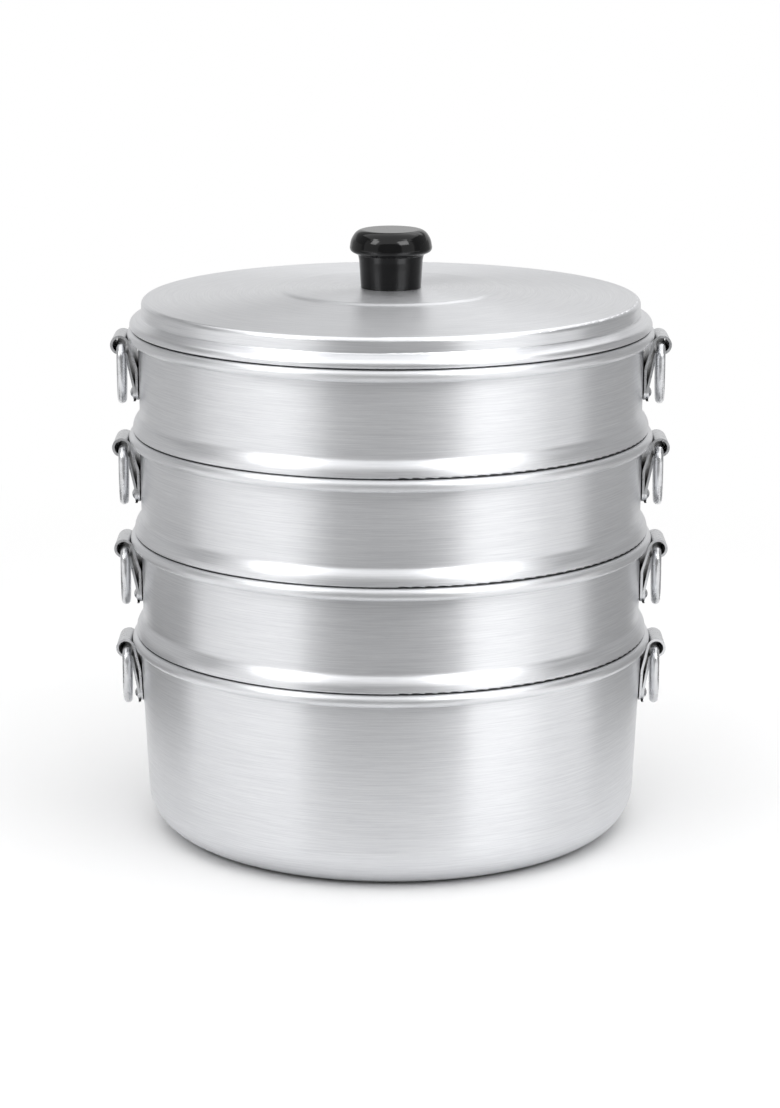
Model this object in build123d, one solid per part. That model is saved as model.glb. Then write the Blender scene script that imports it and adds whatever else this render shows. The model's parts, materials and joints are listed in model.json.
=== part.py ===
from build123d import *
import os
from math import asin, atan2, cos, hypot, pi, radians, sin, sqrt, tan
from typing import NamedTuple

os.makedirs("parts", exist_ok=True)

# A stacked steamer: a turned aluminium pot, steaming trays with pierced floors that stand in
# one another's rims, and a lid with a moulded knob. Every pan has two drop rings in strap lugs.
# Millimetres. The origin is the centre of the pot's base, +Z is up and -Y is the front.

# The stack
rim_radius = 140.0
pot_height = 106.5
tray_pitch = 55.3
tray_names = ("tray_1", "tray_2", "tray_3")
seat_gap = 0.3
spigot_play = 1.0

# The rolled rim of the pot and trays
bead_radius = 3.3
rim_lap = 0.15

# The pot
pot_sheet = 1.5
pot_wall_step = 1.3
pot_draft_degrees = 2.7
pot_corner_radius = 21.5

# A tray: wall, flared shoulder that stands on the rim below, and pierced spigot inside that rim
tray_sheet = 0.9
tray_draft_degrees = 0.4
shoulder_inset = 2.2
shoulder_height = 9.3
shoulder_band = 5.2
shoulder_radius = 9.0
shoulder_foot_radius = 3.5
lip_inside_radius = 0.3
hairpin_radius = 0.7
spigot_depth = 11.0
floor_corner_radius = 4.0
steam_hole_radius = 2.75
steam_hole_pitch = 26.0
steam_hole_margin = 12.0
steam_holes_per_ring_step = 6

# The lid: raised middle, top that slopes down to a round edge, upright band, shoulder and spigot
lid_sheet = 1.0
lid_shoulder_inset = 1.2
lid_shoulder_height = 7.0
lid_shoulder_band = 3.7
lid_shoulder_radius = 3.2
lid_band_foot_radius = 0.9
lid_edge_height = 14.8
lid_edge_radius = 2.5
lid_top_rise = 4.3
lid_boss_radius = 57.0
lid_boss_height = 20.2
lid_ramp_length = 3.6
lid_ramp_radius = 7.0
lid_spigot_depth = 8.0

# The knob, with a pressed-in thread insert, held by a screw and washer from under the lid
knob_height = 30.7
knob_base_radius = 16.0
knob_neck_radius = 16.9
knob_neck_height = 14.5
knob_lip_radius = 17.5
knob_lip_height = 17.5
knob_cap_radius = 22.1
knob_cap_side_height = 19.7
knob_crown_radius = 21.2
knob_crown_height = 25.4
knob_top_radius = 17.9
knob_edge_radius = 0.6
knob_neck_curve = 1.2
knob_lip_curve = 0.35
knob_cap_curve = 2.6
knob_crown_curve = 9.0
knob_top_curve = 6.0
screw_radius = 2.5
screw_reach = 12.0
screw_head_radius = 4.75
screw_head_height = 2.8
screw_head_curve = 1.6
screw_slot_width = 1.2
screw_slot_depth = 1.2
screw_play = 0.25
insert_radius = 4.5
insert_length = 14.0
insert_thread_play = 0.05
insert_play = 0.02
washer_radius = 8.0
washer_thickness = 1.0

# A drop ring: one length of round wire bent to a D, its ends meeting inside the lug's eye
wire_radius = 2.4
ring_width = 46.0
ring_height = 34.8
ring_corner_radius = 6.0
ring_end_gap = 0.4

# A strap lug: one strip folded over the ring's bar, both legs riveted flat to the wall
strap_sheet = 1.3
eye_play = 1.4
eye_bead_gap = 0.5
eye_below_bead_degrees = 40.0
bar_end_gap = 2.0
strap_end_depth = 39.2
strap_corner_radius = 5.0
riveted_length = 6.5
outer_bend_radius = 5.0
inner_bend_rise = 11.0
inner_bend_radius = 6.0
neck_depth = 14.0
neck_outset = 0.9
neck_fillet_radius = 1.0
leg_gap = 0.05

# The rivets through both legs and the wall
rivet_radius = 2.0
rivet_head_radius = 3.0
rivet_head_height = 1.9
rivet_head_edge = 0.4
rivet_tail_radius = 3.1
rivet_tail_height = 1.0
rivet_edge_distance = 4.0
rivet_play = 0.05

# Shares, each a part of the size that its name gives
rivet_place_share = 0.52
ring_turn_share = 0.7
bend_room_share = 0.98
screw_tip_share = 0.2
strap_corner_share = 0.33

# How far cutters run past what they cut
overrun = 5.0

# Sizes worked out from those above
rim_inner_radius = rim_radius - 2 * bead_radius
bead_centre_radius = rim_radius - bead_radius
spigot_radius = rim_inner_radius - spigot_play
floor_flat_radius = spigot_radius - floor_corner_radius
eye_radius = wire_radius + eye_play
outer_bend_depth = strap_end_depth - riveted_length
inner_bend_depth = outer_bend_depth - inner_bend_rise
bar_half_length = ring_width / 2 - wire_radius - ring_corner_radius
strap_width = 2 * (bar_half_length - bar_end_gap)
eye_room = eye_play - seat_gap
ring_turn = asin(min(1, ring_turn_share * eye_room / (strap_width / 2)))
bar_drop = eye_room * sqrt(1 - ring_turn_share**2)


class Pan(NamedTuple):
    """One pan of the stack: where its rim is, and how its wall stands."""

    name: str
    rim_top: float
    wall_top_radius: float
    draft: float
    sheet: float

    def wall_radius(self, depth):
        """Outside radius of the wall at a depth below the rim's top."""
        return self.wall_top_radius - depth * tan(self.draft)


def pan_for(name, rim_top, sheet, wall_step, draft_degrees):
    """A pan whose wall runs up inside its rolled rim."""
    wall_top_radius = rim_inner_radius + rim_lap + wall_step + sheet
    return Pan(name, rim_top, wall_top_radius, radians(draft_degrees), sheet)


def rounded_path(points, radii):
    """Straight runs joined by arcs; where two arcs would not fit on a run, both get smaller."""
    steps = [(b[0] - a[0], b[1] - a[1]) for a, b in zip(points, points[1:])]
    headings = [atan2(rise, across) for across, rise in steps]
    turns = [abs((b - a + pi) % (2 * pi) - pi) for a, b in zip(headings, headings[1:])]
    reach = [0, *(radius * tan(turn / 2) for radius, turn in zip(radii, turns)), 0]
    limits = []
    for step, before, after in zip(steps, reach, reach[1:]):
        room = bend_room_share * hypot(*step)
        limits.append(room / (before + after) if before + after > room else 1)
    fitted = [radius * min(a, b) for radius, a, b in zip(radii, limits, limits[1:])]
    return FilletPolyline(*points, radius=fitted)


def turned_sheet(points, radii, sheet):
    """Half section of a turned sheet: its outer face is the path, its thickness is to the right."""
    return make_face(offset(rounded_path(points, radii), sheet, side=Side.RIGHT, closed=True))


def turned(section):
    """The solid that a half section makes when it turns about the stack's axis."""
    return revolve(Plane.XZ * section, Axis.Z)


def rolled_rim(rim_top):
    """Section of the rolled rim, closed on itself."""
    return Pos(bead_centre_radius, rim_top - bead_radius) * Circle(bead_radius)


def make_pot_shell(pot):
    """The pot: a flat floor, a large corner and a wall that leans out to the rolled rim."""
    points = [
        (pot.wall_radius(bead_radius), pot.rim_top - bead_radius),
        (pot.wall_radius(pot.rim_top), 0),
        (0, 0),
    ]
    return turned(turned_sheet(points, [pot_corner_radius], pot.sheet) + rolled_rim(pot.rim_top))


def steam_holes(floor_height):
    """Cutters for the holes: rings of holes about one in the middle, each ring six more."""
    ring_count = int((floor_flat_radius - steam_hole_margin) / steam_hole_pitch)
    drill = Cylinder(steam_hole_radius, 2 * overrun)
    places = [Pos(0, 0, floor_height)]
    for ring in range(1, ring_count + 1):
        around = PolarLocations(ring * steam_hole_pitch, ring * steam_holes_per_ring_step)
        places += [Pos(0, 0, floor_height) * place for place in around.local_locations]
    return [place * drill for place in places]


def make_tray_shell(tray):
    """A tray: wall, flared shoulder, seat on the rim below, spigot and pierced floor."""
    seat = tray.rim_top - tray_pitch
    shoulder = rim_radius - shoulder_inset
    floor_height = seat - spigot_depth
    points = [
        (tray.wall_radius(bead_radius), tray.rim_top - bead_radius),
        (tray.wall_radius(tray_pitch - shoulder_height), seat + shoulder_height),
        (shoulder, seat + shoulder_band),
        (shoulder, seat + seat_gap),
        (spigot_radius, seat + seat_gap),
        (spigot_radius, floor_height),
        (0, floor_height),
    ]
    lip = tray.sheet + lip_inside_radius
    radii = [shoulder_foot_radius, shoulder_radius, lip, hairpin_radius, floor_corner_radius]
    shell = turned(turned_sheet(points, radii, tray.sheet) + rolled_rim(tray.rim_top))
    return shell - steam_holes(floor_height)


def make_lid_shell(rim_top):
    """The lid, drawn from its middle outwards and down to the spigot."""
    shoulder = rim_radius - lid_shoulder_inset
    points = [
        (0, lid_boss_height),
        (lid_boss_radius, lid_boss_height),
        (lid_boss_radius + lid_ramp_length, lid_edge_height + lid_top_rise),
        (spigot_radius, lid_edge_height),
        (spigot_radius, lid_shoulder_height),
        (shoulder, lid_shoulder_band),
        (shoulder, seat_gap),
        (spigot_radius, seat_gap),
        (spigot_radius, -lid_spigot_depth),
    ]
    lip = lid_sheet + lip_inside_radius
    radii = [
        lid_ramp_radius,
        lid_ramp_radius,
        lid_edge_radius,
        lid_band_foot_radius,
        lid_shoulder_radius,
        lip,
        hairpin_radius,
    ]
    shell = turned(turned_sheet(points, radii, lid_sheet))
    screw_hole = Pos(0, 0, lid_boss_height) * Cylinder(screw_radius + screw_play, 2 * overrun)
    return Pos(0, 0, rim_top) * (shell - screw_hole)


upright = (Align.CENTER, Align.CENTER, Align.MIN)
hung = (Align.CENTER, Align.CENTER, Align.MAX)


def make_knob(base):
    """The moulded knob: tapered neck, undercut lip and domed cap with a flat top."""
    points = [
        (0, 0),
        (knob_base_radius, 0),
        (knob_neck_radius, knob_neck_height),
        (knob_lip_radius, knob_lip_height),
        (knob_cap_radius, knob_cap_side_height),
        (knob_crown_radius, knob_crown_height),
        (knob_top_radius, knob_height),
        (0, knob_height),
    ]
    radii = [
        knob_edge_radius,
        knob_neck_curve,
        knob_lip_curve,
        knob_cap_curve,
        knob_crown_curve,
        knob_top_curve,
    ]
    outline = rounded_path(points, radii)
    body = turned(make_face(outline + Line((0, knob_height), (0, 0))))
    bore = Cylinder(insert_radius + insert_play, insert_length, align=upright)
    return Pos(0, 0, base) * (body - bore)


def make_insert(base):
    """The thread insert, flush with the knob's base."""
    body = Cylinder(insert_radius, insert_length - insert_play, align=upright)
    bore = Cylinder(screw_radius + insert_thread_play, insert_length + overrun, align=upright)
    return Pos(0, 0, base) * (body - bore)


def make_screw(under_lid, base):
    """The knob's screw: a rounded, slotted head under the washer and a shank up into the insert."""
    head_top = under_lid - washer_thickness
    points = [
        (0, base + screw_reach),
        (screw_radius, base + screw_reach),
        (screw_radius, head_top),
        (screw_head_radius, head_top),
        (screw_head_radius, head_top - screw_head_height),
        (0, head_top - screw_head_height),
    ]
    outline = rounded_path(points, [screw_tip_share * screw_radius, 0, 0, screw_head_curve])
    body = turned(make_face(outline + Line(points[-1], points[0])))
    slot = Box(2 * screw_head_radius + overrun, screw_slot_width, 2 * screw_slot_depth)
    return body - Pos(0, 0, head_top - screw_head_height) * slot


def make_washer(under_lid):
    """The flat washer against the lid's inside."""
    disc = Cylinder(washer_radius, washer_thickness, align=hung)
    hole = Cylinder(screw_radius + screw_play, 2 * (washer_thickness + overrun))
    return Pos(0, 0, under_lid) * (disc - hole)


def eye_centre():
    """Centre of the lug's eye, as radius and height from the rim's top: out and down from the bead."""
    reach = bead_radius + eye_radius + strap_sheet + eye_bead_gap
    angle = radians(eye_below_bead_degrees)
    return bead_centre_radius + reach * cos(angle), -bead_radius - reach * sin(angle)


def leg_face(pan, depth, sheets):
    """Radius of a strap face that lies that many sheets off the wall at a depth below the rim."""
    return pan.wall_radius(depth) + sheets * (leg_gap + strap_sheet) / cos(pan.draft)


def arc_about(centre, radius, start, finish):
    """An arc between two angles about a centre, in radians."""
    angles = (start, (start + finish) / 2, finish)
    return ThreePointArc(*((centre[0] + radius * cos(a), centre[1] + radius * sin(a)) for a in angles))


def strap_section(pan):
    """Section of the folded strap: up the wall, round the eye, in at the neck and down again."""
    centre = eye_centre()
    foot = (leg_face(pan, strap_end_depth, 1), -strap_end_depth)
    bend = (leg_face(pan, inner_bend_depth, 1), -inner_bend_depth)
    span = hypot(centre[0] - bend[0], centre[1] - bend[1])
    heading = atan2(centre[1] - bend[1], centre[0] - bend[0]) + asin(eye_radius / span)
    leave = heading + pi / 2
    touch = (centre[0] + eye_radius * cos(leave), centre[1] + eye_radius * sin(leave))
    inner_leg = rounded_path([foot, bend, touch], [inner_bend_radius])

    press = (leg_face(pan, outer_bend_depth, 1) + leg_gap, -outer_bend_depth)
    neck = (rim_radius + neck_outset - strap_sheet, -neck_depth)
    slope = atan2(neck[1] - press[1], neck[0] - press[0])
    neck_radius = neck_fillet_radius + strap_sheet
    start = (press[0] + neck_radius * sin(slope), press[1] - neck_radius * cos(slope))
    along = (centre[0] - start[0]) * cos(slope) + (centre[1] - start[1]) * sin(slope)
    aside = (centre[0] - start[0]) * sin(slope) - (centre[1] - start[1]) * cos(slope)
    run = along - sqrt((eye_radius + neck_radius) ** 2 - aside**2)
    neck_centre = (start[0] + run * cos(slope), start[1] + run * sin(slope))
    meet = atan2(neck_centre[1] - centre[1], neck_centre[0] - centre[0])
    eye = arc_about(centre, eye_radius, leave, meet)
    neck_arc = arc_about(neck_centre, neck_radius, meet + pi, slope + pi / 2)
    neck_end = (neck_centre[0] - neck_radius * sin(slope), neck_centre[1] + neck_radius * cos(slope))
    toe = (leg_face(pan, strap_end_depth, 1) + leg_gap, -strap_end_depth)
    outer_leg = rounded_path([neck_end, press, toe], [outer_bend_radius])

    stretches = (inner_leg, eye, neck_arc, outer_leg)
    bands = [make_face(offset(stretch, strap_sheet, side=Side.LEFT, closed=True)) for stretch in stretches]
    return bands[0] + bands[1:]


def rivet_places(pan):
    """The frames of a lug's rivets: at the wall's face, pointing straight out of it."""
    depth = strap_end_depth - rivet_edge_distance
    outward = (cos(pan.draft), 0, -sin(pan.draft))
    for side in (-1, 1):
        aside = side * rivet_place_share * strap_width / 2
        spot = (pan.wall_radius(depth), aside, pan.rim_top - depth)
        yield Location(Plane(origin=spot, x_dir=(0, 1, 0), z_dir=outward))


def rivet_holes(pan):
    """Cutters for the rivet holes through the strap and the wall."""
    drill = Cylinder(rivet_radius + rivet_play, 4 * overrun)
    return [place * drill for place in rivet_places(pan)]


def make_lug(pan):
    """A strap lug on the right-hand side, its foot rounded and drilled for the rivets."""
    strap = extrude(Plane.XZ * strap_section(pan), strap_width / 2, both=True)
    tall = 2 * strap_end_depth
    front = Pos(0, tall / 2 - strap_end_depth) * Rectangle(strap_width + overrun, tall)
    corner = min(strap_corner_radius, strap_corner_share * strap_width)
    foot = Pos(0, tall / 2 - strap_end_depth) * RectangleRounded(strap_width, tall, corner)
    trim = extrude(Plane.YZ * (front - foot), 2 * rim_radius)
    return Pos(0, 0, pan.rim_top) * (strap - trim) - rivet_holes(pan)


def make_rivets(pan):
    """Both rivets of a right-hand lug: domed head outside, shank, and flat tail inside the wall."""
    under_head = 2 * (leg_gap + strap_sheet)
    crown = under_head + rivet_head_height
    edge = under_head + rivet_head_edge
    inside = pan.wall_radius(strap_end_depth) - pan.sheet / cos(pan.draft)
    far_side = rivet_place_share * strap_width / 2 + rivet_tail_radius
    outside = pan.wall_radius(strap_end_depth - rivet_edge_distance)
    rise = rivet_tail_radius * tan(pan.draft)
    tail_top = sqrt((inside + rise) ** 2 - far_side**2) - outside - rise
    tail_end = tail_top - rivet_tail_height
    sag = crown - edge
    dome = (rivet_head_radius**2 + sag**2) / (2 * sag)
    half_angle = asin(min(1, rivet_head_radius / dome))
    half_way = (dome * sin(half_angle / 2), crown - dome * (1 - cos(half_angle / 2)))
    outline = [
        ThreePointArc((0, crown), half_way, (rivet_head_radius, edge)),
        Polyline(
            (rivet_head_radius, edge),
            (rivet_head_radius, under_head),
            (rivet_radius, under_head),
            (rivet_radius, tail_top),
            (rivet_tail_radius, tail_top),
            (rivet_tail_radius, tail_end),
            (0, tail_end),
            (0, crown),
        ),
    ]
    rivet = revolve(Plane.XZ * make_face(outline[0] + outline[1]), Axis.Z)
    return Compound([(place * rivet).solid() for place in rivet_places(pan)])


def ring_frame(pan):
    """The plane of a right-hand ring, at the middle of its bar, turned as far as the eye lets it."""
    centre = eye_centre()
    bar = (centre[0], 0, pan.rim_top + centre[1] - bar_drop)
    along = (sin(ring_turn), cos(ring_turn), 0)
    outward = (cos(ring_turn), -sin(ring_turn), 0)
    return Plane(origin=bar, x_dir=along, z_dir=outward)


def make_ring(pan):
    """A right-hand drop ring: straight bar, tight corners, short sides and a round bottom."""
    half = ring_width / 2 - wire_radius
    drop = ring_height - 2 * wire_radius
    gap = ring_end_gap / 2
    side_end = -max(drop - half, ring_corner_radius + wire_radius / 2)
    right = rounded_path([(gap, 0), (half, 0), (half, side_end)], [ring_corner_radius])
    bottom = ThreePointArc((half, side_end), (0, side_end - half), (-half, side_end))
    left = rounded_path([(-half, side_end), (-half, 0), (-gap, 0)], [ring_corner_radius])
    frame = ring_frame(pan)
    path = frame * Wire([*right.edges(), *bottom.edges(), *left.edges()])
    start = Plane(origin=path @ 0, z_dir=path % 0)
    return sweep(start * Circle(wire_radius), path=path)


def export(node, shape):
    """Write one node's file."""
    export_step(shape, f"parts/{node}.step")


def export_handles(pan):
    """Write a pan's lugs, rivets and rings; the left-hand ones mirror the right-hand ones."""
    pieces = {"lug": make_lug(pan), "rivets": make_rivets(pan), "ring": make_ring(pan)}
    for piece, shape in pieces.items():
        export(f"{pan.name}_right_{piece}", shape)
        export(f"{pan.name}_left_{piece}", mirror(shape, Plane.YZ))


def drilled_for_lugs(shell, pan):
    """A pan's shell with the rivet holes of both its lugs."""
    right = rivet_holes(pan)
    return shell - right - [mirror(hole, Plane.YZ) for hole in right]


pot = pan_for("pot", pot_height, pot_sheet, pot_wall_step, pot_draft_degrees)
export("pot_shell", drilled_for_lugs(make_pot_shell(pot), pot))
export_handles(pot)

first_tray = pan_for(tray_names[0], pot_height + tray_pitch, tray_sheet, 0, tray_draft_degrees)
tray_shell = drilled_for_lugs(make_tray_shell(first_tray), first_tray)
for level, name in enumerate(tray_names):
    tray = first_tray._replace(name=name, rim_top=first_tray.rim_top + level * tray_pitch)
    export(f"{name}_shell", Pos(0, 0, level * tray_pitch) * tray_shell)
    export_handles(tray)

lid_seat = pot_height + len(tray_names) * tray_pitch
knob_base = lid_seat + lid_boss_height
under_lid = knob_base - lid_sheet
export("lid_shell", make_lid_shell(lid_seat))
export("lid_knob", make_knob(knob_base))
export("knob_insert", make_insert(knob_base))
export("knob_screw", make_screw(under_lid, knob_base))
export("knob_washer", make_washer(under_lid))
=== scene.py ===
import json
from math import cos, radians, sin

import bpy
from mathutils import Matrix, Vector

# A stacked aluminium steamer on a pale studio floor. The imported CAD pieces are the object;
# this script gives each its finish and sets the light and the camera. Metres, +Z up, -Y front.

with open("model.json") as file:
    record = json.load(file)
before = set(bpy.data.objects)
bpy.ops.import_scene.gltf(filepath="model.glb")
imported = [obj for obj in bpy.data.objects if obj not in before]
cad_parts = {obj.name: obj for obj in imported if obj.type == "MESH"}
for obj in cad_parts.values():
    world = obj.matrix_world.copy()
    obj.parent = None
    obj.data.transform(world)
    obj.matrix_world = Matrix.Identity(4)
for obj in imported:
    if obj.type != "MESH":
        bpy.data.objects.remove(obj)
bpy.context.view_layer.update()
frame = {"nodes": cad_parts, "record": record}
nodes = frame["nodes"]
mm = 0.001


# Colours and nodes

def linear(code):
    """Linear colour, with alpha, of an sRGB hex code."""
    parts = [int(code[i:i + 2], 16) / 255 for i in (1, 3, 5)]
    return [c / 12.92 if c <= 0.04045 else ((c + 0.055) / 1.055) ** 2.4 for c in parts] + [1]


def add(tree, kind, inputs=None, **settings):
    """Adds a node with its settings; an input is a value or the socket that it comes from."""
    node = tree.nodes.new("ShaderNode" + kind)
    for name, value in settings.items():
        setattr(node, name, value)
    for name, value in (inputs or {}).items():
        if isinstance(value, bpy.types.NodeSocket):
            tree.links.new(value, node.inputs[name])
        else:
            node.inputs[name].default_value = value
    return node


def new_material(name):
    """An empty node material."""
    material = bpy.data.materials.new(name)
    material.use_nodes = True
    material.node_tree.nodes.clear()
    return material


# Turning marks run round the axis, so their pattern is looked up by direction about the axis,
# radius and height: long one way, thin across.

def turning_marks(tree, length, width, detail):
    """Noise drawn out along circles about the axis, for marks of that length and width."""
    place = add(tree, "TexCoord").outputs["Object"]
    flat = add(tree, "VectorMath", {0: place, 1: (1, 1, 0)}, operation="MULTIPLY").outputs[0]
    radius = add(tree, "VectorMath", {0: flat}, operation="LENGTH").outputs["Value"]
    direction = add(tree, "VectorMath", {0: flat}, operation="NORMALIZE").outputs[0]
    typical_radius = 135 * mm
    around = add(tree, "VectorMath", {0: direction, "Scale": typical_radius / length}, operation="SCALE")
    height = add(tree, "VectorMath", {0: place, 1: (0, 0, 1 / width)}, operation="MULTIPLY")
    point = add(tree, "VectorMath", {0: around.outputs[0], 1: height.outputs[0]}, operation="ADD")
    across = add(tree, "Math", {0: radius, 1: 1 / width}, operation="MULTIPLY")
    noise = add(
        tree, "TexNoise",
        {"Vector": point.outputs[0], "W": across.outputs[0], "Scale": 1, "Detail": detail, "Roughness": 0.6},
        noise_dimensions="4D",
    )
    return noise.outputs["Fac"]


def spread(tree, value, low, high):
    """The value, from its usual 0.3 to 0.7, spread over low to high."""
    scaled = add(
        tree, "MapRange",
        {"Value": value, "From Min": 0.3, "From Max": 0.7, "To Min": low, "To Max": high},
    )
    return scaled.outputs["Result"]


def mixed(tree, value, dark, light):
    """The colour between two sRGB hex codes that the value picks."""
    mix = add(
        tree, "Mix",
        {"Factor": spread(tree, value, 0, 1), "A": linear(dark), "B": linear(light)},
        data_type="RGBA",
    )
    return mix.outputs["Result"]


def painted_crease_shade(tree, colour, reach):
    """The colour with painted shade: darkened where another surface closes in on it within that reach."""
    openness = add(tree, "AmbientOcclusion", {"Distance": reach}, samples=8).outputs["AO"]
    light = add(tree, "MapRange", {"Value": openness, "From Min": 0.1, "From Max": 0.6, "To Min": 0.02})
    dimmed = add(
        tree, "Mix",
        {"Factor": light.outputs["Result"], "A": linear("#000000"), "B": colour},
        data_type="RGBA",
    )
    return dimmed.outputs["Result"]


def make_spun_aluminium(name, smoothest, roughest, stretch):
    """Aluminium sheet spun on a lathe and brushed as it turned.

    The brush leaves fine lines round the axis, so a light is drawn out across them, up the
    walls and along the radius of the lid, and wide soft bands show where the tool pressed.
    """
    material = new_material(name)
    tree = material.node_tree
    # Real brush lines are about 0.05 mm wide; drawn 0.4 mm wide so that they show
    lines = turning_marks(tree, length=25 * mm, width=0.4 * mm, detail=4)
    bands = turning_marks(tree, length=300 * mm, width=4 * mm, detail=1)
    relief = add(tree, "Bump", {"Height": lines, "Strength": 0.16, "Distance": 0.1 * mm})
    swell = add(
        tree, "Bump",
        {"Height": bands, "Strength": 0.3, "Distance": 0.05 * mm, "Normal": relief.outputs[0]},
    )
    around = add(tree, "Tangent", direction_type="RADIAL", axis="Z")
    # The base colour carries painted shade, darker in the creases and gaps where pieces meet
    shader = add(tree, "BsdfPrincipled", {
        "Base Color": painted_crease_shade(tree, mixed(tree, lines, "#d7d8db", "#ebecee"), 2.5 * mm),
        "Metallic": 1,
        "Roughness": spread(tree, lines, smoothest, roughest),
        "Anisotropic": stretch,
        "Anisotropic Rotation": 0.25,
        "Normal": swell.outputs[0],
        "Tangent": around.outputs[0],
    })
    add(tree, "OutputMaterial", {"Surface": shader.outputs[0]})
    return material


def tumbled_metal(name, dark, light, roughness, grain):
    """Metal polished in a tumbler: an even soft gloss with faint marks of that grain."""
    material = new_material(name)
    tree = material.node_tree
    place = add(tree, "TexCoord").outputs["Object"]
    marks = add(tree, "TexNoise", {"Vector": place, "Scale": 1 / grain, "Detail": 2}).outputs["Fac"]
    relief = add(tree, "Bump", {"Height": marks, "Strength": 0.015, "Distance": 0.1 * mm})
    # The base colour carries painted shade, darker in the creases and inside the folds where surfaces close
    # in
    shader = add(tree, "BsdfPrincipled", {
        "Base Color": painted_crease_shade(tree, mixed(tree, marks, dark, light), 4 * mm),
        "Metallic": 1,
        "Roughness": spread(tree, marks, roughness * 0.85, roughness * 1.15),
        "Normal": relief.outputs[0],
    })
    add(tree, "OutputMaterial", {"Surface": shader.outputs[0]})
    return material


def make_black_phenolic():
    """Phenolic resin pressed in a polished mould: jet black with a deep, slightly uneven gloss."""
    material = new_material("moulded black phenolic")
    tree = material.node_tree
    place = add(tree, "TexCoord").outputs["Object"]
    flow = add(tree, "TexNoise", {"Vector": place, "Scale": 1 / (6 * mm), "Detail": 2}).outputs["Fac"]
    relief = add(tree, "Bump", {"Height": flow, "Strength": 0.08, "Distance": 0.2 * mm})
    shader = add(tree, "BsdfPrincipled", {
        "Base Color": mixed(tree, flow, "#050506", "#0a0a0b"),
        "Roughness": spread(tree, flow, 0.07, 0.13),
        "Specular IOR Level": 0.3,
        "Normal": relief.outputs[0],
    })
    add(tree, "OutputMaterial", {"Surface": shader.outputs[0]})
    return material


finishes = {
    "spun_aluminium": make_spun_aluminium(
        "spun brushed aluminium", smoothest=0.36, roughest=0.43, stretch=0.75,
    ),
    "strap_aluminium": tumbled_metal(
        "tumbled aluminium strap", dark="#c6c7c9", light="#d6d7d9", roughness=0.3, grain=3 * mm,
    ),
    "rivet_aluminium": tumbled_metal(
        "cold headed aluminium rivet", dark="#cccdcf", light="#dedfe1", roughness=0.24, grain=2 * mm,
    ),
    "ring_wire": tumbled_metal(
        "tumbled aluminium wire", dark="#cacbcd", light="#dcdddf", roughness=0.28, grain=6 * mm,
    ),
    "phenolic": make_black_phenolic(),
    "brass": tumbled_metal(
        "turned brass insert", dark="#a98a45", light="#c7a75e", roughness=0.3, grain=2 * mm,
    ),
    "plated_steel": tumbled_metal(
        "zinc plated steel", dark="#a9abb0", light="#c6c8cc", roughness=0.3, grain=2 * mm,
    ),
}

for part in frame["record"]["subparts"]:
    piece = nodes[part["node"]]
    piece.data.materials.clear()
    piece.data.materials.append(finishes[part["material_slot"]])

# The lid is brushed more finely than the pans, so that the knob shows in it
nodes["lid_shell"].data.materials[0] = make_spun_aluminium(
    "finely brushed aluminium lid", smoothest=0.31, roughest=0.37, stretch=0.65,
)


# The studio: white paper under and behind the stack, a softbox on each side and one overhead,
# three small lamps for the gloss, and cards that only reflections see. The grey card by the
# camera gives the walls their dark middle, and the low cards give the pot's wall its tones.

studio_radius = 12
stack_middle = Vector((0, 0, 0.16))


def glowing(name, brightness):
    """A material that sends out an even white light."""
    material = new_material(name)
    tree = material.node_tree
    white = add(tree, "Emission", {"Color": (1, 1, 1, 1), "Strength": brightness})
    add(tree, "OutputMaterial", {"Surface": white.outputs[0]})
    return material


def make_floor():
    """The paper that the stack stands on: it takes the shadow, and further off it is plain white."""
    bpy.ops.mesh.primitive_circle_add(vertices=128, radius=studio_radius, fill_type="NGON")
    floor = bpy.context.object
    floor.name = "floor"
    material = new_material("white paper sweep")
    tree = material.node_tree
    place = add(tree, "TexCoord").outputs["Object"]
    away = add(tree, "VectorMath", {0: place}, operation="LENGTH").outputs["Value"]
    far = add(
        tree, "MapRange",
        {"Value": away, "From Min": 0.3, "From Max": 0.9},
        interpolation_type="SMOOTHSTEP",
    )
    paper = add(tree, "BsdfDiffuse", {"Color": linear("#fafafa")})
    white = add(tree, "Emission", {"Color": (1, 1, 1, 1), "Strength": 1})
    blend = add(tree, "MixShader", {0: far.outputs["Result"], 1: paper.outputs[0], 2: white.outputs[0]})
    add(tree, "OutputMaterial", {"Surface": blend.outputs[0]})
    floor.data.materials.append(material)


def make_surround():
    """White all round far off, for the camera alone, so that every view has a white ground."""
    bpy.ops.mesh.primitive_cylinder_add(
        vertices=128, radius=studio_radius, depth=16, end_fill_type="NOTHING",
    )
    surround = bpy.context.object
    surround.name = "white surround"
    surround.data.materials.append(glowing("white surround", 1))
    surround.visible_diffuse = False
    surround.visible_glossy = False
    surround.visible_shadow = False


def card(name, azimuth, distance, width, height, brightness):
    """An upright card that stands on the floor and faces the stack; azimuths are as for a lamp."""
    bpy.ops.mesh.primitive_plane_add(size=1)
    sheet = bpy.context.object
    sheet.name = name
    place = Matrix.Rotation(radians(azimuth), 4, "Z") @ Matrix.Translation((0, -distance, height / 2))
    upright = Matrix.Rotation(radians(90), 4, "X") @ Matrix.Diagonal((width, height, 1, 1))
    sheet.matrix_world = place @ upright
    sheet.data.materials.append(glowing(name, brightness))
    return sheet


def leave_to_reflections(sheet):
    """Hides the card from all but the reflections in the metal and the knob."""
    sheet.visible_camera = False
    sheet.visible_diffuse = False
    sheet.visible_shadow = False


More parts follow.
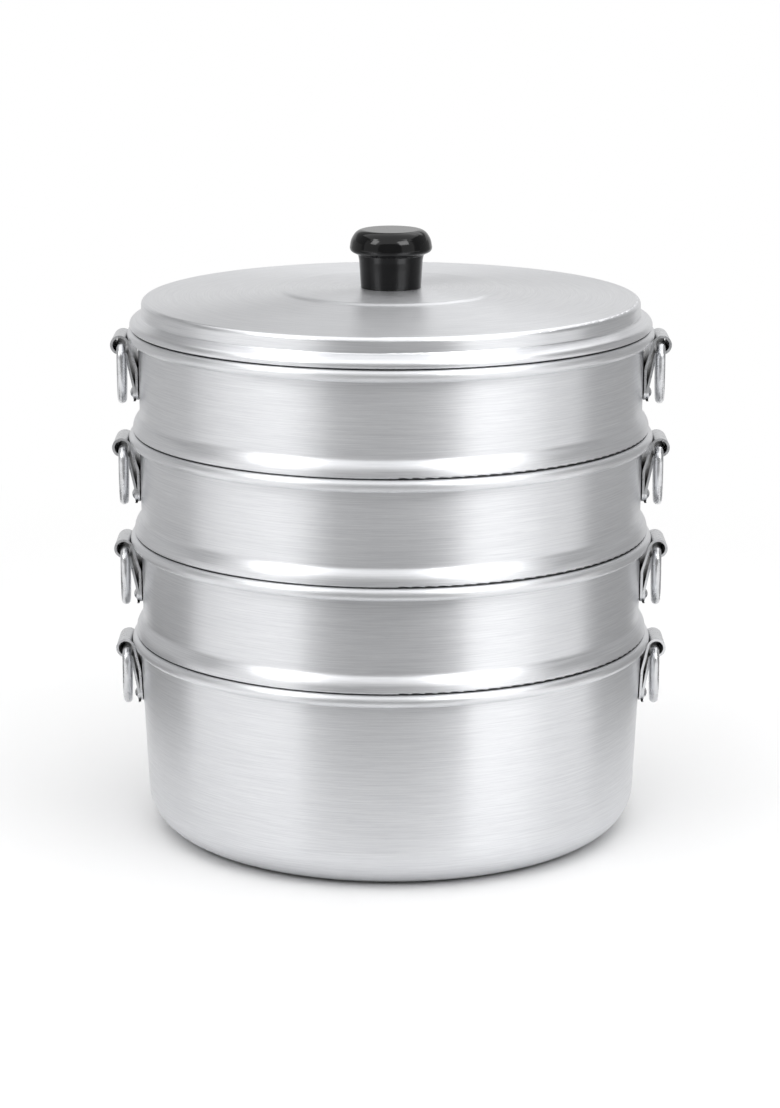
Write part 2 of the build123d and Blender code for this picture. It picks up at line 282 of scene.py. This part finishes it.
def softbox(name, azimuth, elevation, distance, width, height, brightness):
    """A soft lamp aimed at the stack; azimuth 0 is the front, and a positive one is to the right."""
    a, e = radians(azimuth), radians(elevation)
    away = Vector((sin(a) * cos(e), -cos(a) * cos(e), sin(e)))
    lamp = bpy.data.lights.new(name, "AREA")
    lamp.shape = "RECTANGLE"
    lamp.size, lamp.size_y = width, height
    # Power grows with the area, so that a lamp of any size looks as bright as the number says
    lamp.energy = brightness * 4 * width * height
    holder = bpy.data.objects.new(name, lamp)
    holder.location = stack_middle + away * distance
    holder.rotation_euler = (-away).to_track_quat("-Z", "Y").to_euler()
    bpy.context.scene.collection.objects.link(holder)
    return holder


make_floor()
make_surround()
backdrop = card("white backdrop", 180, 2.6, 5, 1.1, 1)
backdrop.visible_camera = False

# Name, azimuth, distance, width, height and brightness of each card
for measures in (
    ("front flag", 0, 0.55, 0.56, 0.5, 0.36),
    ("left flag", -114, 0.55, 0.5, 0.45, 0.55),
    ("right flag", 112, 0.55, 0.5, 0.45, 0.42),
    ("back flag", 180, 0.55, 1.6, 0.55, 0.79),
    ("front low flag", 0, 0.28, 0.34, 0.1, 0.3),
    ("right low glow", 39, 0.28, 0.13, 0.1, 1.3),
    ("left low flag", -104, 0.28, 0.22, 0.1, 0.3),
    ("right low flag", 104, 0.28, 0.22, 0.1, 0.35),
):
    leave_to_reflections(card(*measures))

# Name, azimuth, elevation, distance, width, height and brightness of each lamp, and what it lights
for *measures, lights in (
    ("left softbox", -59, 20, 1.6, 1.3, 1.5, 0.34, "all"),
    ("right softbox", 50, 20, 1.6, 1.1, 1.5, 0.48, "all"),
    ("left lamp", -56, 43, 1.6, 0.45, 0.6, 4.7, "gloss"),
    ("right lamp", 42, 43, 1.6, 0.7, 0.6, 4.7, "gloss"),
    ("back lamp", 155, 43, 1.6, 0.8, 0.6, 0.8, "gloss"),
    ("overhead softbox", 0, 84, 1.7, 3.2, 3.2, 0.85, "all"),
    ("overhead fill", 15, 76, 2, 2, 2, 0.75, "floor"),
):
    lamp = softbox(*measures)
    lamp.visible_diffuse = lights != "gloss"
    lamp.visible_glossy = lights != "floor"

world = bpy.data.worlds.new("studio")
world.use_nodes = True
background = world.node_tree.nodes["Background"].inputs
background["Color"].default_value = (0.35, 0.35, 0.35, 1)
background["Strength"].default_value = 1
bpy.context.scene.world = world

# The photo's lens and angle, measured in pixels of the photo
focal_length_px = 3191
photo_height_px = 1108
tilt_down = 13.41

camera = bpy.data.cameras.new("camera")
camera.sensor_width = 36
camera.lens = focal_length_px / photo_height_px * camera.sensor_width
view = bpy.data.objects.new("camera", camera)
view.location = (-0.0005, -1.680, 0.5474)
view.rotation_euler = (radians(90 - tilt_down), 0, 0)
bpy.context.scene.collection.objects.link(view)
bpy.context.scene.camera = view
bpy.context.scene.view_settings.view_transform = "Standard"
